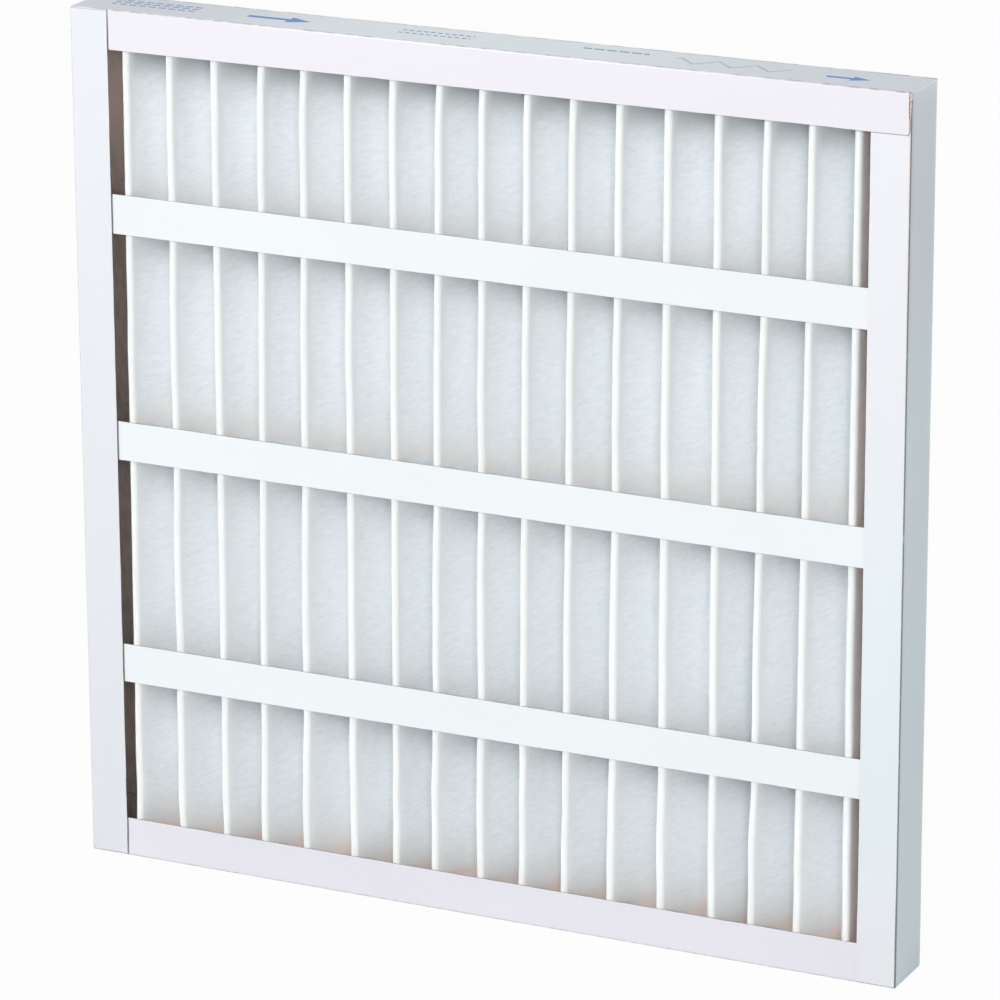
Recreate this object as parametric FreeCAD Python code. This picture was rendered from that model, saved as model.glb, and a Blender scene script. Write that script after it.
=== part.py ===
"""Pleated panel air filter, nominal 24 x 24 x 2 inch, standing on its lower edge.

Millimetres, +Z up. X runs along the panel, the upstream (strap) face looks along -Y.
The origin is under the middle of the panel, on the surface that it stands on.
"""
import FreeCAD
import Part

import math
import os

from FreeCAD import Vector

# Panel
panel_width = 594.0
panel_height = 594.0
panel_depth = 44.5

# Frame board: one strip of coated board, scored and wrapped round the pleat pack
board_thickness = 0.71
flange_width = 27.2
fold_inner_radius = 0.3
corner_radius = 1.2
flap_end_gap = 1.3
joggle_setback = 6.0
joggle_length = 45.0
glue_tab_length = 25.0

# Straps across both faces, glued to the folds, with their ends under the stiles
strap_width = 27.0
strap_pitch = 157.0
strap_count = 3
strap_tuck = 18.0
strap_tilts_deg = (0.0, 0.24, 0.27)
glue_film = 0.1

# Media: one folded sheet of nonwoven
media_thickness = 2.0
pleat_pitch_wanted = 32.5
end_fold_inset = 22.0
back_fold_inner_radius = 0.4
foot_length = 4.0

# Support grid: square wires bonded to the downstream side of the media
wire_size = 0.7
grid_bond = 0.25
grid_fold_radius = 0.2
grid_end_inset = 2.0
cross_wires_per_strap_pitch = 3
line_wires_per_flank = 2

# Levels in the depth, from the middle of the panel towards either face
face_plane = panel_depth / 2
strap_outer = face_plane - 2 * board_thickness
strap_inner = strap_outer - board_thickness

# Pleats: the pack fills the frame with a whole number of them
pack_span = panel_width - 2 * end_fold_inset
pleat_count = max(2, round(pack_span / pleat_pitch_wanted))
pleat_pitch = pack_span / pleat_count
front_fold_inner_radius = wire_size + grid_bond + grid_fold_radius
front_centre_y = -strap_inner + glue_film + front_fold_inner_radius + media_thickness
back_centre_y = (
    strap_inner - glue_film - wire_size - grid_bond - media_thickness - back_fold_inner_radius
)

# Every surface that runs along the sheet bends round the same fold centres, and its
# radius at a front fold and its radius at a back fold always add up to this sum.
radius_sum = front_fold_inner_radius + media_thickness + back_fold_inner_radius
flank_span = math.hypot(pleat_pitch / 2, back_centre_y - front_centre_y)
flank_rise = math.atan2(back_centre_y - front_centre_y, pleat_pitch / 2)
flank_tilt = math.acos(radius_sum / flank_span) - flank_rise
nose_turn = math.pi / 2 - flank_tilt
flank_length = math.sqrt(flank_span**2 - radius_sum**2)


def back_fold_x(index):
    """Middle of a back fold, counted from the left end of the pack."""
    return -panel_width / 2 + end_fold_inset + index * pleat_pitch


def front_fold_x(index):
    """Middle of a front fold, half a pitch past the back fold of the same number."""
    return back_fold_x(index) + pleat_pitch / 2


def on_circle(centre_x, centre_y, radius, angle):
    """Point of a fold's arc, with the angle from +X towards +Y."""
    return Vector(centre_x + radius * math.cos(angle), centre_y + radius * math.sin(angle), 0)


def foot_ends():
    """Outer ends of the two flat feet of the sheet."""
    return back_fold_x(0) - foot_length, back_fold_x(pleat_count) + foot_length


def sheet_edges(front_radius):
    """Edges of one surface of the sheet, left to right, with round folds."""
    back_radius = radius_sum - front_radius
    left_end, right_end = foot_ends()
    foot_y = back_centre_y + back_radius
    edges = []
    last = Vector(left_end, foot_y, 0)
    for index in range(pleat_count + 1):
        centre = (back_fold_x(index), back_centre_y, back_radius)
        enter = math.pi / 2 if index == 0 else math.pi - flank_tilt
        leave = math.pi / 2 if index == pleat_count else flank_tilt
        last = add_fold(edges, last, centre, enter, leave)
        if index < pleat_count:
            centre = (front_fold_x(index), front_centre_y, front_radius)
            last = add_fold(edges, last, centre, math.pi + flank_tilt, 2 * math.pi - flank_tilt)
    edges.append(Part.makeLine(last, Vector(right_end, foot_y, 0)))
    return edges


def add_fold(edges, last, centre, enter, leave):
    """Add the straight run up to a fold and the fold's arc, and return where it ends."""
    start = on_circle(*centre, enter)
    middle = on_circle(*centre, (enter + leave) / 2)
    end = on_circle(*centre, leave)
    edges.append(Part.makeLine(last, start))
    edges.append(Part.Arc(start, middle, end).toShape())
    return end


def wire_points(front_radius):
    """Corners of one side of a cross wire, left to right, with flat noses at the folds."""
    back_radius = radius_sum - front_radius
    left_end, right_end = foot_ends()
    foot_y = back_centre_y + back_radius
    front_y = front_centre_y - front_radius
    front_half = front_radius * math.tan(nose_turn / 2)
    back_half = back_radius * math.tan(nose_turn / 2)
    points = [Vector(left_end, foot_y, 0)]
    for index in range(pleat_count + 1):
        if index > 0:
            points.append(Vector(back_fold_x(index) - back_half, foot_y, 0))
        if index < pleat_count:
            points.append(Vector(back_fold_x(index) + back_half, foot_y, 0))
            points.append(Vector(front_fold_x(index) - front_half, front_y, 0))
            points.append(Vector(front_fold_x(index) + front_half, front_y, 0))
    points.append(Vector(right_end, foot_y, 0))
    return points


def slab(outline, low_z, high_z):
    """Solid between two heights over an outline drawn at height 0."""
    face = Part.Face(outline)
    face.translate(Vector(0, 0, low_z))
    return face.extrude(Vector(0, 0, high_z - low_z))


def make_media():
    """The folded sheet, from the lower wall of the frame to the upper one."""
    front = sheet_edges(front_fold_inner_radius + media_thickness)
    back = sheet_edges(front_fold_inner_radius)
    ends = [
        Part.makeLine(front[0].Vertexes[0].Point, back[0].Vertexes[0].Point),
        Part.makeLine(front[-1].Vertexes[-1].Point, back[-1].Vertexes[-1].Point),
    ]
    outline = Part.Wire(Part.__sortEdges__(front + back + ends))
    return slab(outline, board_thickness, panel_height - board_thickness)


def make_cross_wires():
    """Wires that zigzag over the pleats, one of them under the middle of each strap."""
    outer = grid_fold_radius + wire_size
    front = wire_points(outer)
    back = wire_points(grid_fold_radius)
    outline = Part.makePolygon(front + back[::-1] + front[:1])
    spacing = strap_pitch / cross_wires_per_strap_pitch
    reach = panel_height / 2 - board_thickness - grid_end_inset - wire_size
    each_way = int(reach / spacing)
    wires = []
    for step in range(-each_way, each_way + 1):
        middle = panel_height / 2 + step * spacing
        wires.append(slab(outline, middle - wire_size / 2, middle + wire_size / 2))
    return wires


def make_line_wires():
    """Straight wires along the pleats, welded to the back of the cross wires."""
    across = Vector(math.cos(flank_tilt), -math.sin(flank_tilt), 0)
    along = Vector(math.sin(flank_tilt), math.cos(flank_tilt), 0)
    low_z = board_thickness + grid_end_inset
    high_z = panel_height - low_z
    wires = []
    for index in range(pleat_count):
        fold = Vector(front_fold_x(index), front_centre_y, 0)
        for side in (1, -1):
            for step in range(1, line_wires_per_flank + 1):
                run = flank_length * step / (line_wires_per_flank + 1)
                corner = across * (grid_fold_radius - wire_size) + along * (run - wire_size / 2)
                corners = [
                    corner,
                    corner + across * wire_size,
                    corner + across * wire_size + along * wire_size,
                    corner + along * wire_size,
                    corner,
                ]
                outline = [fold + Vector(side * point.x, point.y, 0) for point in corners]
                wires.append(slab(Part.makePolygon(outline), low_z, high_z))
    return wires


def channel_section(x, level):
    """Section of a folded side: wall at the bottom, a flange up each face.

    Level 1 lies in the face plane and level 0 one board under it.
    """
    outer = face_plane - (1 - level) * board_thickness
    inner = outer - board_thickness
    bend = fold_inner_radius + board_thickness
    diagonal = math.sqrt(0.5)

    def point(y, z):
        return Vector(x, y, z)

    def bend_arc(side, radius):
        centre_y = side * (outer - bend)
        start = point(side * (outer - bend + radius), bend)
        middle = point(centre_y + side * radius * diagonal, bend - radius * diagonal)
        end = point(centre_y, bend - radius)
        return Part.Arc(start, middle, end).toShape()

    edges = []
    for side in (-1, 1):
        edges.append(Part.makeLine(point(side * outer, flange_width), point(side * outer, bend)))
        edges.append(bend_arc(side, bend))
        edges.append(Part.makeLine(point(side * inner, flange_width), point(side * inner, bend)))
        edges.append(bend_arc(side, fold_inner_radius))
        edges.append(
            Part.makeLine(point(side * outer, flange_width), point(side * inner, flange_width))
        )
    low_y = outer - bend
    edges.append(Part.makeLine(point(-low_y, 0), point(low_y, 0)))
    edges.append(Part.makeLine(point(-low_y, board_thickness), point(low_y, board_thickness)))
    return Part.Wire(Part.__sortEdges__(edges))


def make_channel(length, start_level, middle_level, end_level):
    """One side of the strip, folded to a channel, with its ends stepped over or under."""
    zone = flange_width + joggle_setback
    half = length / 2
    stations = [(-half, start_level)]
    if start_level != middle_level:
        stations += [(zone - half, start_level), (zone + joggle_length - half, middle_level)]
    if end_level != middle_level:
        stations += [(half - zone - joggle_length, middle_level), (half - zone, end_level)]
    stations.append((half, end_level))
    spans = []
    for (x, level), (next_x, next_level) in zip(stations, stations[1:]):
        section = channel_section(x, level)
        if level == next_level:
            spans.append(Part.Face(section).extrude(Vector(next_x - x, 0, 0)))
        else:
            spans.append(Part.makeLoft([section, channel_section(next_x, next_level)], True, True))
    channel = spans[0].multiFuse(spans[1:]) if len(spans) > 1 else spans[0]
    notch_low = board_thickness + fold_inner_radius
    for side in (-1, 1):
        notch = Part.makeBox(
            flap_end_gap,
            panel_depth,
            flange_width,
            Vector(side * (half - flap_end_gap / 2) - flap_end_gap / 2, -face_plane, notch_low),
        )
        channel = channel.cut(notch)
    return channel


def make_frame_board():
    """The wrapped strip: each side's flanges lie over the end of the side before it."""
    middle = panel_height / 2
    sides = (
        ("bottom", panel_width, Vector(0, 0, 0), (0, 0, 0)),
        ("right", panel_height, Vector(panel_width / 2, 0, middle), (1, 0, 0)),
        ("top", panel_width, Vector(0, 0, panel_height), (1, 0, 0)),
        ("left", panel_height, Vector(-panel_width / 2, 0, middle), (1, 1, 1)),
    )
    channels = []
    for turn, (_name, length, place, levels) in enumerate(sides):
        channel = make_channel(length, *levels)
        channel.rotate(Vector(0, 0, 0), Vector(0, 1, 0), -90 * turn)
        channel.translate(place)
        channels.append(channel)
    tab_depth = 2 * (strap_outer - board_thickness)
    tab = Part.makeBox(
        board_thickness,
        tab_depth,
        glue_tab_length,
        Vector(-panel_width / 2 + board_thickness, -tab_depth / 2, board_thickness),
    )
    board = channels[0].multiFuse(channels[1:] + [tab])
    envelope = Part.makeBox(
        panel_width, panel_depth, panel_height, Vector(-panel_width / 2, -face_plane, 0)
    )
    corners = [
        edge
        for edge in envelope.Edges
        if abs(edge.Vertexes[0].Point.y - edge.Vertexes[-1].Point.y) > panel_depth / 2
    ]
    return board.common(envelope.makeFillet(corner_radius, corners)).removeSplitter()


def make_strap(side, index):
    """One strap of board, flat on the folds of one face; side is -1 at the front."""
    length = panel_width - 2 * (flange_width - strap_tuck)
    height = panel_height / 2 + (index - (strap_count - 1) / 2) * strap_pitch
    near = min(side * strap_outer, side * strap_inner)
    strap = Part.makeBox(
        length, board_thickness, strap_width, Vector(-length / 2, near, height - strap_width / 2)
    )
    tilt = strap_tilts_deg[index % len(strap_tilts_deg)] if side < 0 else 0
    strap.rotate(Vector(0, 0, height), Vector(0, 1, 0), tilt)
    return strap


def save(name, shape):
    """Write one node and print what it holds."""
    shape.exportStep(f"parts/{name}.step")
    box = shape.BoundBox
    print(
        f"{name}: solids {len(shape.Solids)}, valid {shape.isValid()}, "
        f"volume {shape.Volume:.0f}, x {box.XMin:.2f} to {box.XMax:.2f}, "
        f"y {box.YMin:.2f} to {box.YMax:.2f}, z {box.ZMin:.2f} to {box.ZMax:.2f}"
    )


def main():
    os.makedirs("parts", exist_ok=True)
    save("frame_board", make_frame_board())
    save("pleated_media", make_media())
    save("support_grid", Part.makeCompound(make_cross_wires() + make_line_wires()))
    for index in range(strap_count):
        save(f"front_strap_{index + 1}", make_strap(-1, index))
        save(f"back_strap_{index + 1}", make_strap(1, index))
    print(f"pleats {pleat_count}, pitch {pleat_pitch:.2f}, flank {flank_length:.2f}")


main()
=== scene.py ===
# %% [markdown]
# # A pleated panel air filter
# The filter is a folded board frame round a pack of pleated fibre sheet. Its sizes come from a
# model that is already built, so the scene starts by loading that model as a fixed frame. Every
# piece below takes its place from the boxes of that frame instead of from typed coordinates.

# %% Load the frame
import math

import bmesh
import bpy
from mathutils import Euler, Matrix, Vector, noise


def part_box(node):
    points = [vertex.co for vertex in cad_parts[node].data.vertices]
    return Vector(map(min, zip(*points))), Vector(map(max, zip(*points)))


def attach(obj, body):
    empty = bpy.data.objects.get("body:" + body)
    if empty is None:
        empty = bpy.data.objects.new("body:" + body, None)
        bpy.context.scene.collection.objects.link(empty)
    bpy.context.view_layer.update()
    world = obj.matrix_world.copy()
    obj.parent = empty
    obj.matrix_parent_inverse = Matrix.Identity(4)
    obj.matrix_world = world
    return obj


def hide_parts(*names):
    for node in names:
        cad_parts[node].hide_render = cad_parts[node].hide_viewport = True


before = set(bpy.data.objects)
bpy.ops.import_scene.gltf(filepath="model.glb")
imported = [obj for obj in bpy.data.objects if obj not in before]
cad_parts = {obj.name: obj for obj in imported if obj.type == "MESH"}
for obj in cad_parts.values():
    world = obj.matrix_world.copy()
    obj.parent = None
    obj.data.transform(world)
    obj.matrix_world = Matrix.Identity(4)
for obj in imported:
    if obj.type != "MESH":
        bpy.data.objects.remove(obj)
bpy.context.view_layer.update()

low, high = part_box("frame_board")
width, depth, height = high - low
mm = 0.001
print("panel", [round(side / mm, 1) for side in (width, depth, height)], "mm")

# %% [markdown]
# The boxes tell where a piece is, but not how thick its board is or how it was folded. So the
# board's own sizes are named once here: its thickness, the width of its flanges, the outer radius
# of its long folds and of its corners, and the stretch in which a side steps down by one board.

# %% Sizes of the board
board = 0.71 * mm
air_between_flaps = 0.05 * mm
flange = 27.2 * mm
bend = 1.0 * mm
corner = 1.2 * mm
joggle_start = 33.0 * mm
joggle_end = 78.0 * mm

# %% [markdown]
# ## Tools for the hands
# An operator acts on everything that is selected, and the loaded model arrives selected. So each
# piece starts by letting go of everything. Inside edit mode, faces and edges are picked by where
# they are, which reads like pointing at them and still works when a count changes.

# %% Selecting
def start_fresh():
    """Let go of everything before a new piece."""
    bpy.ops.object.select_all(action="DESELECT")


def choose(*pieces):
    """Select these pieces, the first one as the active one."""
    start_fresh()
    for piece in pieces:
        piece.select_set(True)
    bpy.context.view_layer.objects.active = pieces[0]


def pick(kind, test):
    """In edit mode, select only the verts, edges or faces that pass a test."""
    data = bpy.context.object.data
    modes = ("verts", "edges", "faces")
    bpy.context.tool_settings.mesh_select_mode = [kind == mode for mode in modes]
    mesh = bmesh.from_edit_mesh(data)
    for part in [*mesh.verts, *mesh.edges, *mesh.faces]:
        part.select = False
    for part in getattr(mesh, kind):
        if test(part):
            part.select_set(True)
    mesh.select_flush_mode()
    bmesh.update_edit_mesh(data)


def ends(edge):
    """The two end points of an edge."""
    return edge.verts[0].co, edge.verts[1].co


def runs_along(edge, axis):
    """Whether an edge runs along axis 0, 1 or 2."""
    a, b = ends(edge)
    return abs((a - b)[axis]) > 0.99 * (a - b).length > 0


# %% Placing, extruding and finishing
def add_plane(name, size_x, size_y, centre=(0, 0, 0), turn=(0, 0, 0)):
    """A rectangle of a given size, with its place already in its mesh."""
    start_fresh()
    bpy.ops.mesh.primitive_plane_add(size=1, location=centre, rotation=turn)
    piece = bpy.context.object
    piece.name = name
    piece.scale = (size_x, size_y, 1)
    bpy.ops.object.transform_apply(location=True, rotation=True, scale=True)
    return piece


def extrude_through(points):
    """Extrude the selected edges from the first point through the others."""
    for here, there in zip(points, points[1:]):
        step = Vector(there) - Vector(here)
        bpy.ops.mesh.extrude_edges_move(TRANSFORM_OT_translate={"value": step})


def edit():
    bpy.ops.object.mode_set(mode="EDIT")


def leave():
    bpy.ops.object.mode_set(mode="OBJECT")


def apply(piece, kind, **settings):
    """Add one modifier to a piece and apply it."""
    choose(piece)
    modifier = piece.modifiers.new(kind.title(), kind)
    for name, value in settings.items():
        setattr(modifier, name, value)
    bpy.ops.object.modifier_apply(modifier=modifier.name)


def shape(piece, move):
    """Move each vertex of a piece to where move puts it, as with soft fingers."""
    for vertex in piece.data.vertices:
        vertex.co = move(vertex.co)


def hand_over(piece, slot, *nodes):
    """Let a finished piece ride on the filter's one body and stand for its CAD nodes."""
    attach(piece, "root")
    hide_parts(*nodes)
    print(piece.name, len(piece.data.polygons), "faces")


# %% Measuring and blending
def middle_height(node):
    """Height of the middle of a CAD node."""
    return sum(point.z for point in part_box(node)) / 2


def smoothstep(low_end, high_end, value):
    """0 below the low end, 1 above the high end, and an easy curve between."""
    share = min(max((value - low_end) / (high_end - low_end), 0), 1)
    return share * share * (3 - 2 * share)


def unevenness(*place):
    """Smooth noise between -1 and 1, the same each time for the same three numbers."""
    return noise.noise(Vector(place))


# %% [markdown]
# ## Sums for the finishes
# A material is a sum of patterns. Written as node calls, such a sum is hard to read, so one small
# class wraps a socket and gives it Python's own arithmetic. Masks then read like algebra, and each
# operator adds the Math node that it stands for.

# %% A socket that can do sums
class Signal:
    """A number on its way through a material."""

    def __init__(self, finish, socket):
        self.finish = finish
        self.socket = socket

    def math(self, operation, *values):
        return self.finish.node("Math", {"operation": operation}, *values)

    def __add__(self, other):
        return self.math("ADD", self, other)

    def __sub__(self, other):
        return self.math("SUBTRACT", self, other)

    def __rsub__(self, other):
        return self.math("SUBTRACT", other, self)

    def __mul__(self, other):
        return self.math("MULTIPLY", self, other)

    def __truediv__(self, other):
        return self.math("DIVIDE", self, other)

    def __abs__(self):
        return self.math("ABSOLUTE", self)

    def __gt__(self, other):
        return self.math("GREATER_THAN", self, other)

    def __lt__(self, other):
        return self.math("LESS_THAN", self, other)

    def __mod__(self, other):
        return self.math("FLOORED_MODULO", self, other)

    __radd__ = __add__
    __rmul__ = __mul__

    def ramp(self, start, end):
        """0 at the start and 1 at the end, with a smooth step between."""
        settings = {"interpolation_type": "SMOOTHSTEP"}
        return self.finish.node("MapRange", settings, self, start, end, 0.0, 1.0)


def band(value, start, end):
    """1 where a signal lies between two numbers."""
    return (value > start) * (value < end)


# %% A material in the making
class Finish:
    """A material in the making, with its output already joined to one shader."""

    def __init__(self, name, **settings):
        self.material = bpy.data.materials.new(name)
        self.material.use_nodes = True
        self.tree = self.material.node_tree
        self.shader = self.tree.nodes["Principled BSDF"]
        for socket, value in settings.items():
            self.set(socket.replace("_", " "), value)

    def set(self, socket, value):
        """Give one socket of the shader a number, a colour or a signal."""
        self.feed(self.shader.inputs[socket], value)

    def feed(self, socket, value):
        """Link a signal to any socket, or write a number or a colour into it."""
        if isinstance(value, Signal):
            self.tree.links.new(value.socket, socket)
        elif hasattr(value, "__len__") and len(value) == 3 and len(socket.default_value) == 4:
            socket.default_value = (*value, 1)
        else:
            socket.default_value = value

    def node(self, kind, settings, *values, output=0, **named):
        """Add a node: its settings first, then its sockets in order or by name."""
        node = self.tree.nodes.new("ShaderNode" + kind)
        for name, value in settings.items():
            setattr(node, name, value)
        for socket, value in zip(node.inputs, values):
            self.feed(socket, value)
        for name, value in named.items():
            self.feed(node.inputs[name], value)
        return Signal(self, node.outputs[output])

    def place(self):
        """The three object coordinates, in millimetres."""
        point = self.node("TexCoord", {}, output=3)
        parts = [self.node("SeparateXYZ", {}, point, output=axis) for axis in range(3)]
        return [part * 1000 for part in parts]

    def noise(self, scale, detail=3.0, stretch=(1, 1, 1)):
        """Cloudy noise around 0.5, with this many clouds in a metre along each axis."""
        point = self.node("TexCoord", {}, output=3)
        sized = self.node("VectorMath", {"operation": "MULTIPLY"}, point, stretch)
        return self.node("TexNoise", {}, Vector=sized, Scale=scale, Detail=detail)

    def mix(self, share, first, second):
        """Blend two colours by a share from 0 to 1."""
        node = self.tree.nodes.new("ShaderNodeMix")
        node.data_type = "RGBA"
        for index, value in ((0, share), (6, first), (7, second)):
            self.feed(node.inputs[index], value)
        return Signal(self, node.outputs[2])

    def layers(self, base, *coats):
        """Lay colours over a base in turn, each with a mask that says where and how much."""
        for share, colour in coats:
            base = self.mix(share, base, colour)
        return base

    def bump(self, height_signal, distance, strength=1.0):
        """Raise the surface by a signal times a distance in metres."""
        self.set("Normal", self.node("Bump", {}, Height=height_signal, Distance=distance,
                                     Strength=strength))


# %% [markdown]
# ## Board
# The frame and the straps are the same stock: heavy board with a smooth white coating on the
# outside and raw brown kraft on the inside. The cut edge shows the brown core, painted much darker
# as painted shade. So a board piece carries three finishes: one for the coated side, one for the
# raw side and one for the cut. The straps were cut from a batch with a slightly greener white, and
# the lowest one is the lightest.

# %% Board finishes
white_coat = (0.822, 0.814, 0.882)
strap_coat = (0.84, 0.88, 0.903)
raw_kraft = (0.72, 0.62, 0.57)
# The cut edge is the brown core, painted much darker as painted shade.
cut_core_and_painted_shade = 0.26


def toned(colour, factor):
    """A colour made darker or lighter by a factor."""
    return tuple(factor * part for part in colour)


def coated_board(name, coat):
    """Smooth white coating with a faint mottle and the slight grain of the board under it."""
    finish = Finish(name, Roughness=0.5, Specular_IOR_Level=0.35)
    cloud = finish.noise(9, 4)
    speck = finish.noise(900, 2)
    shade = finish.mix(cloud.ramp(0.3, 0.75), toned(coat, 0.975), coat)
    finish.bump(finish.noise(1400, 2) * 0.5 + speck * 0.5, 0.00003, 0.35)
    finish.set("Roughness", 0.46 + speck * 0.1)
    return finish, shade


def kraft_board(name, darkness=1.0):
    """Raw brown side of the board, with fibres and dark flecks, paler at the top and, as painted
    light, to the right.
    """
    finish = Finish(name, Roughness=0.85, Specular_IOR_Level=0.2)
    fibre = finish.noise(260, 4, (1, 1, 0.35))
    fleck = finish.noise(1500, 1).ramp(0.66, 0.74)
    brown = toned(raw_kraft, darkness)
    base = finish.mix(fibre.ramp(0.3, 0.7), toned(brown, 0.82), brown)
    x, _, z = finish.place()
    # Painted light: the raw side is painted paler to the right, where it is seen in shade through
    # the opening; it is also paler at the top.
    paler = z.ramp(430, 530) + x.ramp(200, 260)
    coats = ((paler, toned(brown, 1.3)), (fleck * 0.5, toned(brown, 0.5)))
    finish.set("Base Color", finish.layers(base, *coats))
    finish.bump(fibre, 0.00008, 0.5)
    return finish.material


# %% [markdown]
# ## Media
# The filter sheet is a thick, soft, white nonwoven. Light sinks a little into it, so it scatters
# under the surface, and its fibres lie mostly across the pleats. A noise that is squeezed along the
# height gives the faint level streaks, and a finer one the fluff. The front folds are painted
# whiter than the flanks, as a painted highlight with painted shade deeper in the pleats, and less
# white near the top, where the lamps give more light. Just above each glue line the sheet is
# painted warm, as painted light bounced from the brown board, strongest at the lower rail, and just
# below each line it is painted greyer, as painted shade under the strap or rail. Both are ramps of
# the height, and the warm tint is broken up by the noise of the fibres. The last flank beside the
# right wall is painted pink-brown, as painted shade lit by light bounced from the brown board.

# %% Glue lines and fibre colours
strap_heights = [middle_height(f"front_strap_{index}") for index in (1, 2, 3)]
strap_lines = [strap_height / mm for strap_height in strap_heights]
lower_line, upper_line = flange / 2 / mm, (height - flange / 2) / mm
print("strap lines", [round(line) for line in strap_lines], "mm")

bright_fibre = (0.965, 0.985, 0.99)
flank_shade = (0.86, 0.905, 0.94)
upper_crest = (0.865, 0.895, 0.90)
painted_shade_fibre = (0.69, 0.72, 0.735)
painted_bounce_fibre = (0.95, 0.92, 0.895)
painted_bounce_at_rail = (0.95, 0.83, 0.78)
painted_shade_by_wall = (0.92, 0.77, 0.76)


# %% Media finish
def nonwoven():
    """White fibre sheet with level streaks and a soft, fluffy surface."""
    finish = Finish("nonwoven", Roughness=0.95, Specular_IOR_Level=0.1, Subsurface_Weight=0.6,
                    Subsurface_Radius=(1, 1, 1), Subsurface_Scale=0.003)
    finish.shader.subsurface_method = "BURLEY"
    x, y, z = finish.place()
    streak = finish.noise(110, 3, (1, 1, 4))
    fluff = finish.noise(600, 1, (1, 1, 1.8))
    tone = (streak * 0.6 + fluff * 0.4).ramp(0.3, 0.7)
    # Painted light: the front folds are painted whiter than the flanks, as a painted highlight with
    # painted shade deeper in the pleats, and whiter low down than near the top, where the lamps
    # give more light.
    crest = finish.mix(z.ramp(-40, 520), bright_fibre, upper_crest)
    flank = finish.mix(tone, flank_shade, bright_fibre)
    # Painted shade: the flanks are painted greyer just below each strap and below the upper rail,
    # where these shade them.
    for line, strength in zip((*strap_lines, upper_line), (0.28, 0.2, 0.44, 1.0)):
        dents_and_painted_shade = z.ramp(line - 38, line - 16) * (z < line) * strength
        flank = finish.mix(dents_and_painted_shade, flank, painted_shade_fibre)
    white = finish.mix(y.ramp(-19.6, -12), crest, flank)
    # Painted reflected light: a warm tint just above each glue line stands for light bounced from
    # the brown board.
    for line, strength in zip((lower_line, *strap_lines), (0.45, 0.15, 0.8, 0.4)):
        tint = z.ramp(line + 10, line + 13) * (1 - z.ramp(line + 14, line + 36)) * strength
        white = finish.mix(tint * (0.3 + 0.7 * tone), white, painted_bounce_fibre)
    # Painted reflected light: near the lower rail the deeper flanks are painted warm, for light
    # bounced from the brown board below.
    at_lower_rail = 1 - z.ramp(lower_line + 5, lower_line + 14)
    painted_rail_bounce = at_lower_rail * y.ramp(-18, -14) * (0.35 + 0.65 * tone)
    # Painted shade: the last flank beside the right wall is painted pink-brown, for the shade there
    # and the light bounced from the brown board.
    beside_right_wall = x.ramp(262.6, 265.0) * y.ramp(-19.2, -18.2) * 0.55
    coats = ((painted_rail_bounce, painted_bounce_at_rail), (beside_right_wall, painted_shade_by_wall))
    finish.set("Base Color", finish.layers(white, *coats))
    finish.bump(streak * 0.4 + fluff * 0.6, 0.0004, 0.7)
    return finish.material


# %% Wire finish
def galvanised():
    """Zinc-coated wire."""
    finish = Finish("galvanised_wire", Metallic=1.0, Roughness=0.42)
    spangle = finish.noise(320, 2)
    finish.set("Base Color", finish.mix(spangle, (0.50, 0.51, 0.52), (0.68, 0.69, 0.70)))
    finish.set("Roughness", 0.34 + spangle * 0.2)
    return finish.material


# %% [markdown]
# ## Uneven white
# The coating is not painted one even white. Along the rails it leans to violet, on the right stile
# and the side wall to green. Painted shade makes the left stile and the upper rail a little darker
# and the side wall darker towards its top, and a painted pool of light makes the upper wall palest
# in its middle. Each area is a comparison of the coordinates, so the tints follow the parts of the
# frame, and each is mixed in by a little less than its whole, so that the mottle of the coating
# still shows.

# %% Where the parts of the frame are
printed, coat_shade = coated_board("coated_board_printed", white_coat)
x, y, z = printed.place()
half_width, half_depth, full_height = width / 2 / mm, depth / 2 / mm, height / mm
flange_width = flange / mm
left_flange_edge = flange_width - half_width
flap_edge = full_height - flange_width
tall = z / full_height


def near_front(reach):
    """1 within this many millimetres of the front face."""
    return y < reach - half_depth


def near_top(reach):
    """1 within this many millimetres of the top."""
    return z > full_height - reach


def near_right(reach):
    """1 within this many millimetres of the right side."""
    return x > half_width - reach


skin = 1.5
on_top, on_side = near_top(skin), near_right(skin)

# %% Tints of the coating
# Painted light and shade: the left stile and the upper rail are painted darker, the side wall
# darker towards its top, and the upper wall palest in its middle, as a painted pool of light.
green_part = tall.ramp(0.04, 0.2) * (1 - tall.ramp(0.4, 0.7))
right_white = printed.mix(green_part, (0.815, 0.83, 0.865), (0.78, 0.865, 0.885))
side_green_and_painted_shade = printed.mix(tall.ramp(0.55, 0.95), (0.79, 0.88, 0.905), (0.69, 0.74, 0.78))
top_painted_light = printed.mix(abs(x).ramp(60, 240), (0.865, 0.925, 0.955), (0.775, 0.81, 0.85))
top_painted_light = printed.mix((0 - x).ramp(130, 270), top_painted_light, (0.725, 0.75, 0.79))
left_stile = x < left_flange_edge
top_rail = (x > left_flange_edge) * (z > flap_edge)
right_stile = (x > -left_flange_edge) * (z < flap_edge)
upper_wall = on_top * (y > 0.7 - half_depth)
shade = printed.layers(
    coat_shade,
    (left_stile * 0.85, (0.775, 0.80, 0.84)),
    (top_rail * 0.85, (0.812, 0.788, 0.842)),
    (right_stile * 0.85, right_white),
    (on_side * 0.9, side_green_and_painted_shade),
    (upper_wall * 0.9, top_painted_light),
)

# %% [markdown]
# ## The print
# The print on the upper wall is plain ink in a few simple shapes: rows of dashes, arrows for the
# air flow and a zigzag, drawn with masks on the object's own coordinates. A mask is 1 inside a
# shape and 0 outside. A dash is a band in each direction, an arrow is a shaft with a tapering band
# at its end, and a zigzag is a band round a triangle wave.

# %% Shapes of the print
navy_ink = (0.10, 0.22, 0.42)
blue_ink = (0.04, 0.22, 0.62)
grey_ink = (0.42, 0.50, 0.55)
zigzag = 26.0


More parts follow.
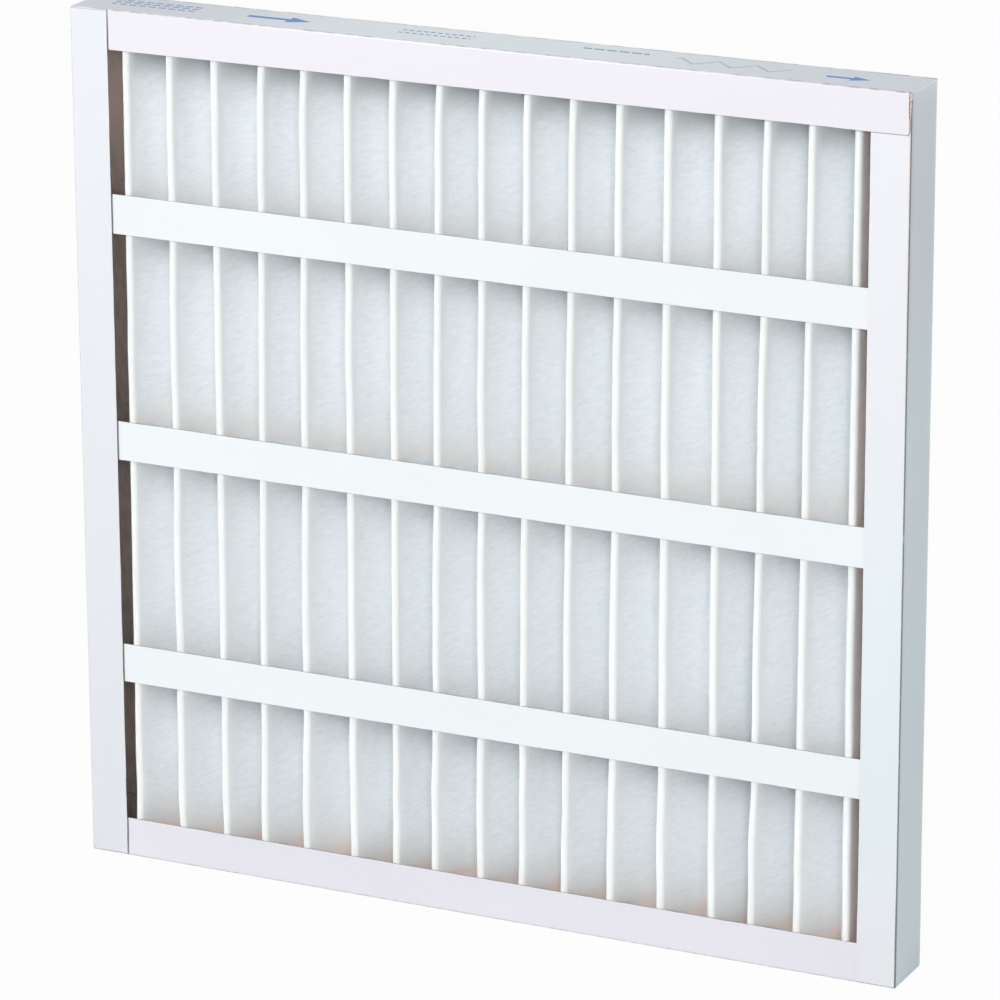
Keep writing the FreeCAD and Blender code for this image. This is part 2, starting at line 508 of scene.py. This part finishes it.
def dashes(left, right, rows, pitch, fill, thick):
    """Rows of short dashes, each row this thick and each dash a share of the pitch."""
    step = x % pitch
    line = 0.0
    for row in rows:
        line = line + band(y, row, row + thick)
    return line * (step < pitch * fill) * band(x, left, right)


def arrow(tail, tip, middle, half):
    """A straight arrow along the panel with a triangular head."""
    neck = tip - 3.2 * half
    shaft = band(x, tail, neck) * band(y, middle - half / 2, middle + half / 2)
    head = band(x, neck, tip) * (abs(y - middle) < (tip - x) * 0.45)
    return shaft + head


# %% Print on the upper wall
navy = dashes(-276, -214, (6.5, 1.5, -4.5), 7.3, 0.72, 2.6)
navy = navy + dashes(-66, -14, (4.5, -2.5), 5.1, 0.66, 2.2)
navy = navy + dashes(62, 108, (5.0,), 8.7, 0.8, 2.8)
blue = arrow(-176, -130, 0.0, 5.0) + arrow(232, 262, -2.0, 4.0)
wave = abs((x % zigzag) - zigzag / 2) - zigzag / 4
grey = band(x, 128, 206) * (abs(y - wave) < 1.5)
ink = printed.layers(
    shade,
    (navy * on_top * 0.85, navy_ink),
    (blue * on_top * 0.9, blue_ink),
    (grey * on_top * 0.7, grey_ink),
)

# %% [markdown]
# Where the board was folded, the coating cracked and the brown core shows through. The right front
# fold is worn most, the back fold of the upper wall less, and at the upper right corner the end of
# the flap is torn. The left front fold has a grey line of painted shade, the upper front fold is
# partly rubbed and partly painted darker, as painted shade that puts out its highlight, and the low
# front fold has a broken dark line. A thin line of painted shadow stands where the board steps down
# under its neighbour: beside the left stile and below the end of the flap. Each mark is a band in
# two coordinates, and most are broken up by a little noise.

# %% Worn folds
worn = printed.noise(130, 3)
fold_right = near_right(0.85) * near_front(1.5) * (z < full_height - 5)
fold_left = (x < 0.7 - half_width) * near_front(1.2)
fold_top_front = near_top(0.8) * near_front(1.7)
fold_low_front = (z < 0.8) * near_front(1.0)
fold_top_back = near_top(1.3) * y.ramp(half_depth - 4.5, half_depth - 2.5)
crack = printed.mix(tall.ramp(0.35, 0.75), (0.15, 0.14, 0.14), (0.20, 0.105, 0.075))
rubbed_and_painted_shade = printed.mix(worn.ramp(0.4, 0.65), (0.66, 0.65, 0.685), (0.45, 0.43, 0.45))
# Painted shade: a grey line on the left front fold, and the upper front fold painted darker, partly
# rubbed and partly to put out its highlight.
ink = printed.layers(
    ink,
    (fold_right * worn.ramp(0.1, 0.45) * 0.8, crack),
    (fold_left * 0.4, (0.35, 0.36, 0.38)),
    (fold_top_front * 0.9, rubbed_and_painted_shade),
    (fold_low_front * worn.ramp(0.45, 0.55) * 0.35, (0.22, 0.18, 0.18)),
    (fold_top_back * worn.ramp(0.35, 0.6) * 0.6, (0.24, 0.21, 0.25)),
)

# %% Steps between the flaps, and the torn end
# Painted shadow: a thin dark line beside the left stile's edge and under the end of the upper flap,
# where the board steps down.
step_across = band(x, left_flange_edge - 0.4, left_flange_edge + 0.7)
just_under_front = band(y, 0.35 - half_depth, 1.4 - half_depth)
painted_step_shadow = step_across * just_under_front
painted_flap_shadow = band(z, flap_edge - 0.7, flap_edge + 0.4) * just_under_front
painted_flap_shadow = painted_flap_shadow * band(x, half_width - 28, half_width - 2)
tatter = printed.noise(420, 3)
torn = (x > tatter * 2.6 + (half_width - 3.3)) * band(z, full_height - 18.5, full_height - 2.2)
torn = torn * near_front(1.0) * (x < half_width - 0.5)
core_speck = printed.noise(700, 2).ramp(0.4, 0.6)
core = printed.mix(core_speck, (0.58, 0.40, 0.33), (0.84, 0.72, 0.66))
ink = printed.layers(
    ink,
    (painted_step_shadow * 0.7, (0.22, 0.21, 0.23)),
    (painted_flap_shadow * 0.6, (0.24, 0.23, 0.26)),
    (torn * 0.9, core),
)
printed.set("Base Color", ink)
coated = printed.material

# %% The other board finishes
plain, plain_shade = coated_board("coated_board_plain", strap_coat)
x, y, z = plain.place()
# Painted shadow: a thin dark line on the front straps where their ends go under the left stile.
painted_strap_step_shadow = band(x, left_flange_edge - 0.4, left_flange_edge + 0.7) * (y < 0)
# The straps are made lighter the lower they lie.
lighter_towards_bottom = plain.mix((1 - z.ramp(100, 480)) * 0.5, plain_shade, (0.90, 0.97, 0.99))
plain.set("Base Color", plain.mix(painted_strap_step_shadow * 0.6, lighter_towards_bottom, (0.24, 0.23, 0.25)))
coated_plain = plain.material
kraft = kraft_board("kraft_inside")
cut_edge = kraft_board("kraft_cut_edge", cut_core_and_painted_shade)

# %% [markdown]
# ## The frame board
# On the real filter one strip of board is scored, wrapped round the pack and closed with a glued
# tab. It could be modelled as a box with a hole, but then the folds and the flaps that overlap at
# the corners would be missing. Here one side is folded as it is on the bench: a flat wall, bent
# round the next corner, then a flange extruded round each long fold. The other three sides are
# copies of the same job, each stepped over or under its neighbour, and they are welded to a ring.

# %% Fold one side flat on the bench
fold_steps = 4
turns = [math.pi / 2 * step / fold_steps for step in range(fold_steps + 1)]


def fold_side(name, length):
    """One side of the strip, lying along X with its outside down and its flanges up."""
    half, edge_y = length / 2, depth / 2 - bend
    piece = add_plane(name, length - 2 * corner, 2 * edge_y)
    edit()
    bpy.ops.mesh.flip_normals()
    pick("edges", lambda e: all(p.x > half - 1.5 * corner for p in ends(e)))
    extrude_through([(corner * math.sin(a), 0, corner * (1 - math.cos(a))) for a in turns])
    for side in (-1, 1):
        pick("edges", lambda e: not runs_along(e, 1)
             and all(p.x > half - corner - 1e-6 and p.y * side > edge_y * 0.99 for p in ends(e)))
        for last, turn in zip(turns, turns[1:]):
            step = bend * (math.sin(turn) - math.sin(last))
            before, after = [corner - bend + bend * math.cos(a) for a in (last, turn)]
            shrink = after / before
            extrude_through([(0, 0, 0), (0, side * step, 0)])
            bpy.ops.transform.resize(value=(shrink, 1, shrink),
                                     center_override=(half - corner, 0, corner))
    for side in (-1, 1):
        pick("edges", lambda e: runs_along(e, 0) and (e.calc_length() > half)
             and all(p.y * side > edge_y * 0.99 for p in ends(e)))
        path = [(0, side * bend * math.sin(a), bend * (1 - math.cos(a))) for a in turns]
        extrude_through(path + [(0, side * bend, flange)])
    pick("edges", lambda e: e.calc_length() > half)
    bpy.ops.mesh.subdivide(number_cuts=53)
    pick("edges", lambda e: flange * 0.8 < e.calc_length() < flange)
    bpy.ops.mesh.subdivide(number_cuts=15)
    pick("edges", lambda e: e.calc_length() > flange)
    bpy.ops.mesh.subdivide(number_cuts=9)
    leave()
    return piece


# %% [markdown]
# A flat fold would look dead. Each side therefore steps by one board where its end lies over the
# neighbour, its free edges wander by a fraction of a millimetre, and its wall bows in slightly.
# The moves only ever go inwards, so the piece stays in the box of the real size. The sides are
# counted by their quarter turns, from the bottom through the right and the top to the left.

# %% How far the board gives way
bottom_turn, top_turn = 0, 2
flange_lean = 0.25 * mm
dent_reach, dent_depth = 11 * mm, 0.42 * mm
edge_wander = 0.25 * mm
wall_bow = 0.35 * mm
ruck_height = 0.5 * mm
clipped_corner = 1.2 * mm


# %% Step and relax one side
def relax_side(piece, length, levels, following, turn, ragged, sunk_end, dents_and_painted_shade):
    """Put each stretch of a side at its level and let the board wander a little.

    The levels are those of the start, the middle and the end, and following is that of the next
    side's start. Level 1 is the face of the panel and level 0 one board under it. The last stretch
    sinks by sunk_end boards more, ragged is how far the end of the front flap is torn, and pressed
    lists the places where the flanges are dented.
    """
    half = length / 2
    start, middle, end = levels

    def level_at(x):
        if x > half - corner:
            return end + (following - end) * (x - half + corner) / corner
        near_start = 1 - smoothstep(joggle_start - half, joggle_end - half, x)
        near_end = smoothstep(half - joggle_end, half - joggle_start, x)
        sag = -sunk_end * smoothstep(half - 2 * joggle_end, half - joggle_start, x)
        return middle + (start - middle) * near_start + (end - middle) * near_end + sag

    def move(point):
        x, y, z = point
        side = math.copysign(1, y)
        new_y = y - y / (depth / 2) * (1 - level_at(x)) * board
        on_flange = max(z - bend, 0) / flange
        lean = 1 + unevenness(x * 22, side * 3 + turn, z * 30)
        new_y -= side * on_flange * lean * flange_lean
        for spot in dents_and_painted_shade:
            dent = math.exp(-((x - spot) / dent_reach) ** 2)
            new_y -= side * min(on_flange * 4, 1) * dent * dent_depth
        new_z = z
        if z > flange * 0.97:
            new_z += unevenness(x * 60, side * 5, turn) * edge_wander
        if z < bend and abs(x) < half - corner and turn != bottom_turn:
            bow = math.cos(y / depth * math.pi) * (1 - (x / half) ** 8)
            lift = 0.5 * (1 + unevenness(x * 9, y * 30, turn + 4))
            new_z += bow * lift * wall_bow
        if turn == top_turn:
            ruck = 0.5 + 0.5 * unevenness(x * 70, 8, 0)
            new_z += smoothstep(0.7, 1, y / (depth / 2)) * ruck * ruck_height
        new_x = x
        if ragged and side < 0 and z > bend and x < corner - half + 0.1 * mm:
            tear = unevenness(z * 400, 1.7, 0) + (0.7 if z < flange * 0.6 else -0.7)
            new_x += ragged * (0.5 + 0.5 * tear)
            new_x += smoothstep(flange * 0.9, flange, z) * clipped_corner
        return Vector((new_x, new_y, new_z))

    shape(piece, move)


# %% Wrap the four sides
# Each job: name, length, place of the wall's middle, levels, following, ragged, sunk end, pressed.
side_jobs = (
    ("bottom", width, Vector((0, 0, 0)), (0, 0, 0), 1, 0.0, 0.0, (flange - width / 2,)),
    ("right", height, Vector((width / 2, 0, height / 2)), (1, 0, 0), 1, 0.0, 0.35, ()),
    ("top", width, Vector((0, 0, height)), (1, 0, 0), 1, 0.8 * mm, 0.0, (width / 2 - flange,)),
    ("left", height, Vector((-width / 2, 0, height / 2)), (1, 1, 1), 0, 0.0, 0.0, ()),
)
sides = []
for turn, (name, length, place, *job) in enumerate(side_jobs):
    levels, following, ragged, sunk_end, dents_and_painted_shade = job
    side = fold_side("board_" + name, length)
    relax_side(side, length, levels, following, turn, ragged, sunk_end, dents_and_painted_shade)
    quarter_turns = Euler((0, -turn * math.pi / 2, 0)).to_matrix().to_4x4()
    side.data.transform(Matrix.Translation(place) @ quarter_turns)
    sides.append(side)

# %% Glue the sides to a ring with a tab
tab_length, tab_middle, tab_margin = 24.5 * mm, 12.75 * mm, 4 * mm
tab = add_plane("board_tab", tab_length, depth - 2 * tab_margin,
                (board * 1.1 - width / 2, 0, tab_middle), (0, math.pi / 2, 0))
edit()
bpy.ops.mesh.flip_normals()
bpy.ops.mesh.subdivide(number_cuts=3)
leave()
choose(*sides, tab)
bpy.ops.object.join()
board_frame = bpy.context.object
board_frame.name = "wrapped_board"
edit()
bpy.ops.mesh.select_all(action="SELECT")
bpy.ops.mesh.remove_doubles(threshold=0.05 * mm)
leave()
for material in (coated, kraft, cut_edge):
    board_frame.data.materials.append(material)
apply(board_frame, "SOLIDIFY", thickness=board - air_between_flaps, offset=-1.0,
      use_even_offset=True, material_offset=1, material_offset_rim=2)
choose(board_frame)
bpy.ops.object.shade_smooth_by_angle(angle=math.radians(40))
hand_over(board_frame, "frame_board", "frame_board")

# %% [markdown]
# ## The straps
# Three strips of the same board run across each face. They are glued to the folds, so they lie
# flat with a slight ripple, and their ends go under the stiles. Two of the front ones are tilted,
# so all six are cut to the size of a level one.

# %% Lay the straps
strap_tilts = {"front_strap_2": 0.24, "front_strap_3": 0.27}
ripple_depth, strap_wander = 0.06 * mm, 0.2 * mm
plain_low, plain_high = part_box("back_strap_1")
length, wide = plain_high.x - plain_low.x, plain_high.z - plain_low.z
for node in [f"{face}_strap_{index}" for face in ("front", "back") for index in (1, 2, 3)]:
    low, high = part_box(node)
    middle = (low + high) / 2
    outward = -1 if node.startswith("front") else 1
    outer_y = low.y if outward < 0 else high.y
    strap = add_plane(node.replace("_strap", "_board_strap"), length, wide,
                      (0, 0, 0), (-outward * math.pi / 2, 0, 0))
    edit()
    pick("edges", lambda e: runs_along(e, 0))
    bpy.ops.mesh.subdivide(number_cuts=139)
    pick("edges", lambda e: e.calc_length() > wide / 2)
    bpy.ops.mesh.subdivide(number_cuts=5)
    leave()
    seed = middle.z * 10

    def ripple(point):
        sag = ripple_depth * (1 + unevenness(point.x * 45, seed, point.z * 20))
        edge = unevenness(point.x * 30, seed + point.z * 300, 3) * strap_wander
        return Vector((point.x, -outward * sag, point.z + edge * abs(point.z) / (wide / 2)))

    shape(strap, ripple)
    tilt = Matrix.Rotation(math.radians(strap_tilts.get(node, 0)), 4, "Y")
    strap.data.transform(Matrix.Translation((0, outer_y, middle.z)) @ tilt)
    for material in (coated_plain, kraft, cut_edge):
        strap.data.materials.append(material)
    apply(strap, "SOLIDIFY", thickness=board - air_between_flaps, offset=-1.0,
          material_offset=1, material_offset_rim=2)
    hand_over(strap, "strap_board", node)

# %% [markdown]
# ## The pleated sheet
# One pleat is drawn as a path in plan: half a back fold, a flank, a front fold, a flank and half a
# back fold. An upright edge is extruded along it, which gives the folded surface at once. Copies
# with the same mesh side by side make the pack, and the two ends run out into flat feet.

# %% Sizes of the pleats
sheet = 2.0 * mm
front_inner, back_inner = 1.15 * mm, 0.4 * mm
end_inset = 22.0 * mm
pleats = 17
pitch = (width - 2 * end_inset) / pleats
pack_left = end_inset - width / 2
media_low, media_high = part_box("pleated_media")
front_y = media_low.y + sheet + front_inner
back_y = media_high.y - sheet - back_inner
radius_sum = front_inner + sheet + back_inner
span = math.hypot(pitch / 2, back_y - front_y)
flank_tilt = math.acos(radius_sum / span) - math.atan2(back_y - front_y, pitch / 2)


# %% Path of one pleat
def fold_points(centre_x, centre_y, radius, enter, leave_angle, steps):
    """Points of one round fold."""
    angles = [enter + (leave_angle - enter) * step / steps for step in range(steps + 1)]
    return [Vector((centre_x + radius * math.cos(a), centre_y + radius * math.sin(a), 0))
            for a in angles]


def flank_between(start, end, count):
    """Points that divide the straight run between two folds."""
    return [start.lerp(end, step / (count + 1)) for step in range(1, count + 1)]


def pleat_path(front_radius, steps, flank_count):
    """One pleat in plan, from the middle of a back fold to the middle of the next."""
    back_radius = radius_sum - front_radius
    right = math.pi / 2
    first = fold_points(0, back_y, back_radius, right, flank_tilt, steps // 2)
    front = fold_points(pitch / 2, front_y, front_radius, math.pi + flank_tilt,
                        2 * math.pi - flank_tilt, steps)
    last = fold_points(pitch, back_y, back_radius, math.pi - flank_tilt, right, steps // 2)
    return (first + flank_between(first[-1], front[0], flank_count) + front
            + flank_between(front[-1], last[0], flank_count) + last)


# %% [markdown]
# No real pack is even. The folds lean, because the sheet was gathered by hand against its glue
# lines, and between the straps they bow a little. The two lists say how far each front fold stands
# from its even place near the lower and near the upper rail, read off the photograph in half
# millimetres. Everything between follows smoothly, and the wire grid uses the same function.

# %% How the pack sways
sway_low = (-2.5, -1, 0.5, -2.5, -2.5, 1, 0.5, -3.5, -1.5, -3.5, -5, -3.5, 0, 4.5, 0, 0, 2)
sway_high = (1.5, 1.5, 2, 4.5, 3, 2.5, 3, 4.5, 2.5, 2, 2, 2, 3, 5, 6.5, 4, 2.5)
glue_lines = [0.0, *strap_heights, height]
bow_reach, hook_reach, wiggle_length = 0.7, 0.7, 34 * mm


def sway(x, z):
    """How far the pack stands to the right of its even place at one spot."""
    place = (x - pack_left) / pitch - 0.5
    fold = min(max(place, 0), pleats - 1)
    index = min(int(fold), pleats - 2)
    share = fold - index
    lower = sway_low[index] * (1 - share) + sway_low[index + 1] * share
    upper = sway_high[index] * (1 - share) + sway_high[index + 1] * share
    lean = lower + (upper - lower) * z / height
    below = max(line for line in glue_lines if line <= max(z, 0))
    above = min(line for line in glue_lines if line >= min(z, height) and line > below)
    bow = math.sin(math.pi * (z - below) / (above - below)) ** 2
    bow *= -bow_reach * (0.6 + 0.4 * math.sin(1.9 * fold)) * smoothstep(-0.6, 1, fold)
    bow *= 1.0 if z < strap_heights[2] else 0.5
    wiggle = 0.9 - 0.5 * smoothstep(110 * mm, 190 * mm, z)
    wiggle *= unevenness(fold * 1.3, z / wiggle_length, 2)
    hook = hook_reach * smoothstep(height - 52 * mm, height - 24 * mm, z)
    hook *= smoothstep(0.5, 4, fold) * (1 - smoothstep(8, 12, fold))
    loose = 1 - min(abs(place - fold) / 0.5, 1)
    return (lean + bow + wiggle + hook) * loose * mm


# %% Extrude the pleats
path = pleat_path(front_inner + sheet / 2, 8, 3)
strip = 1 * mm
media = add_plane("pleated_sheet", strip, media_high.z - media_low.z,
                  (0, 0, 0), (math.pi / 2, 0, 0))
strip_middle = path[0] - Vector((strip / 2, 0, -(media_high.z + media_low.z) / 2))
media.data.transform(Matrix.Translation(strip_middle))
edit()
pick("edges", lambda e: runs_along(e, 2) and ends(e)[0].x > path[0].x - 0.1 * mm)
extrude_through(path)
pick("verts", lambda v: v.co.x < path[0].x - strip / 2)
bpy.ops.mesh.delete(type="VERT")
leave()
apply(media, "ARRAY", count=pleats, use_relative_offset=False, use_constant_offset=True,
      constant_offset_displace=(pitch, 0, 0), use_merge_vertices=True, merge_threshold=0.02 * mm)
media.data.transform(Matrix.Translation((pack_left, 0, 0)))
edit()
for side, foot_end in ((-1, media_low.x), (1, media_high.x)):
    edge_x = side * -pack_left
    pick("edges", lambda e: runs_along(e, 2) and abs(ends(e)[0].x - edge_x) < 0.01 * mm
         and len(e.link_faces) == 1)
    extrude_through([(edge_x, 0, 0), ((edge_x + foot_end) / 2, 0, 0), (foot_end, 0, 0)])
pick("edges", lambda e: runs_along(e, 2))
bpy.ops.mesh.subdivide(number_cuts=55)
bpy.ops.mesh.select_all(action="SELECT")
bpy.ops.mesh.remove_doubles(threshold=0.01 * mm)
leave()

# %% Settle the sheet
settling = 0.35 * mm


def settle(point):
    """Sway the pack, and let the flanks stand a little uneven."""
    x, y, z = point
    uneven = unevenness(x * 40, y * 60, z * 28)
    flat = min(abs(y - media_low.y), abs(media_high.y - y)) / (media_high.y - media_low.y)
    return Vector((x + sway(x, z) + uneven * flat * settling, y, z))


shape(media, settle)
apply(media, "SOLIDIFY", thickness=sheet, offset=0.0, use_even_offset=True)
media.data.materials.append(nonwoven())
choose(media)
bpy.ops.object.shade_smooth_by_angle(angle=math.radians(60))
hand_over(media, "nonwoven_media", "pleated_media")
one_pleat = sum((b - a).length for a, b in zip(path, path[1:]))

# %% [markdown]
# ## The wire grid
# The downstream side of the sheet carries a welded grid. Its cross wires follow the pleats, and its
# line wires run straight up the flanks. Each wire is a curve with a round bevel, turned into a
# mesh, because a curve holds its section through every bend.

# %% Drawing wires
wire = 0.7 * mm
bond = 0.25 * mm
cross_radius = front_inner - bond - wire / 2
line_radius = cross_radius - wire


def wire_object(name, paths):
    """Round wires through lists of points, joined to one mesh."""
    curve = bpy.data.curves.new(name, "CURVE")
    curve.dimensions = "3D"
    curve.bevel_depth = wire / 2
    curve.bevel_resolution = 1
    curve.use_fill_caps = True
    for points in paths:
        spline = curve.splines.new("POLY")
        spline.points.add(len(points) - 1)
        for target, point in zip(spline.points, points):
            target.co = (*point, 1)
    piece = bpy.data.objects.new(name, curve)
    bpy.context.collection.objects.link(piece)
    choose(piece)
    bpy.ops.object.convert(target="MESH")
    piece = bpy.context.object
    bpy.ops.object.shade_smooth_by_angle(angle=math.radians(70))
    return piece


def swayed(point):
    """A point of the grid, moved along with the pack."""
    return Vector((point[0] + sway(point[0], point[2]), point[1], point[2]))


# %% Bend the cross wires
gaps_to_a_strap = 3
wires_each_way = 5
strap_rise = (middle_height("back_strap_3") - middle_height("back_strap_1")) / 2
cross_gap = strap_rise / gaps_to_a_strap
cross_path = pleat_path(cross_radius, 4, 0)
foot_y = cross_path[0].y
cross_wires = []
for step in range(-wires_each_way, wires_each_way + 1):
    z = height / 2 + step * cross_gap
    points = [Vector((media_low.x, foot_y, z))]
    for pleat in range(pleats):
        shift = Vector((pack_left + pleat * pitch, 0, z))
        points += [swayed(point + shift) for point in cross_path]
    points.append(Vector((media_high.x, foot_y, z)))
    cross_wires.append(points)

# %% Stand the line wires and weld the grid
wire_steps = 24
grid_low, grid_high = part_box("support_grid")
grid_height = grid_high.z - grid_low.z
heights = [grid_low.z + grid_height * step / wire_steps for step in range(wire_steps + 1)]
across = Vector((math.cos(flank_tilt), -math.sin(flank_tilt), 0))
along = Vector((math.sin(flank_tilt), math.cos(flank_tilt), 0))
flank_length = math.sqrt(span ** 2 - radius_sum ** 2)
line_wires = []
for pleat in range(pleats):
    for side in (-1, 1):
        for share in (1 / 3, 2 / 3):
            offset = across * line_radius + along * flank_length * share
            x = pack_left + (pleat + 0.5) * pitch + side * offset.x
            y = front_y + offset.y
            line_wires.append([swayed((x, y, z)) for z in heights])

grid = wire_object("wire_grid", cross_wires + line_wires)
grid.data.materials.append(galvanised())
hand_over(grid, "grid_wire", "support_grid")

# %% [markdown]
# ## Stage, light and camera
# The floor is a plain mid grey for the light that bounces off it. On the rays that show it to the
# eye it is almost wholly its own white, so the filter stands on a clean ground and still keeps a
# soft shadow. The surroundings work in the same way: white to the eye, and a weak cool light for
# everything else. Four soft lamps light the filter, as in a small studio: a strong one in front,
# above and to the left, a weak one near the camera that lifts the insides of the pleats, a low one
# beside the right wall, and one behind that lights the upper wall.

# %% Floor
floor_size, floor_centre, own_white = 24, (0, 6, 0), 0.97
floor = add_plane("studio_floor", floor_size, floor_size, floor_centre)


def seen_plainly(finish):
    """1 on the rays that show a thing to the eye: direct, mirrored or passed through glass."""
    kinds = ("Is Camera Ray", "Is Glossy Ray", "Is Transmission Ray")
    direct, mirrored, passed = [finish.node("LightPath", {}, output=kind) for kind in kinds]
    return direct + mirrored + passed


ground = Finish("studio_ground", Base_Color=(0.5, 0.5, 0.5), Roughness=1.0)
seen = seen_plainly(ground)
glow = ground.node("Emission", {}, (1, 1, 1, 1), 1.0)
lit = Signal(ground, ground.shader.outputs[0])
blend = ground.node("MixShader", {}, seen * own_white, lit, glow)
ground.tree.links.new(blend.socket, ground.tree.nodes["Material Output"].inputs["Surface"])
floor.data.materials.append(ground.material)

# %% Surroundings
world = bpy.data.worlds.new("studio")
bpy.context.scene.world = world
world.use_nodes = True


class Surroundings(Finish):
    """The world's own nodes, used in the same way as a material's."""

    def __init__(self, tree):
        self.tree = tree


sky = Surroundings(world.node_tree)
background = sky.tree.nodes["Background"]
background.inputs["Color"].default_value = (0.86, 0.94, 1.0, 1)
background.inputs["Strength"].default_value = 0.25
cool_light = Signal(sky, background.outputs[0])
white = sky.node("Background", {}, (1, 1, 1, 1), 1.0)
lit_or_seen = sky.node("MixShader", {}, seen_plainly(sky), cool_light, white)
sky.tree.links.new(lit_or_seen.socket, sky.tree.nodes["World Output"].inputs["Surface"])


# %% Lamps
def soft_lamp(name, place, aim, size, power, colour):
    """A square area lamp that looks at a point."""
    data = bpy.data.lights.new(name, "AREA")
    data.size = size
    data.energy = power
    data.color = colour
    lamp = bpy.data.objects.new(name, data)
    lamp.location = place
    lamp.rotation_euler = (Vector(aim) - Vector(place)).to_track_quat("-Z", "Y").to_euler()
    bpy.context.collection.objects.link(lamp)


warm_white, cool_white = (1.0, 0.985, 0.97), (0.95, 0.98, 1.0)
soft_lamp("key_softbox", (-1.3, -2.9, 2.45), (0, 0, 0.35), 1.6, 108, warm_white)
soft_lamp("camera_softbox", (1.2, -2.5, 1.25), (0, 0, 0.3), 0.9, 14, warm_white)
soft_lamp("side_softbox", (2.5, -1.3, 0.3), (0, 0, 0.2), 1.0, 7.2, warm_white)
soft_lamp("back_softbox", (1.0, 2.6, 0.9), (0, 0, 0.3), 1.6, 46, cool_white)

# %% Camera
yaw, pitch_angle, roll = 0.447, -0.307, 0.004
focal_pixels, frame_pixels = 5515.8, 1000
camera_data = bpy.data.cameras.new("camera")
camera_data.sensor_width = 36
camera_data.lens = focal_pixels / frame_pixels * camera_data.sensor_width
camera_data.clip_end = 100
camera = bpy.data.objects.new("camera", camera_data)
front_of_panel = Vector((0, -depth / 2, height / 2))
from_panel_to_camera = Vector((1.49516, -3.08681, 1.08258))
camera.location = front_of_panel + from_panel_to_camera
aim = Matrix.Rotation(yaw, 3, "Z") @ Matrix.Rotation(pitch_angle, 3, "X")
aim = aim @ Matrix.Rotation(roll, 3, "Y") @ Matrix.Rotation(math.pi / 2, 3, "X")
camera.rotation_euler = aim.to_euler()
bpy.context.collection.objects.link(camera)
bpy.context.scene.camera = camera
bpy.context.scene.view_settings.view_transform = "Standard"
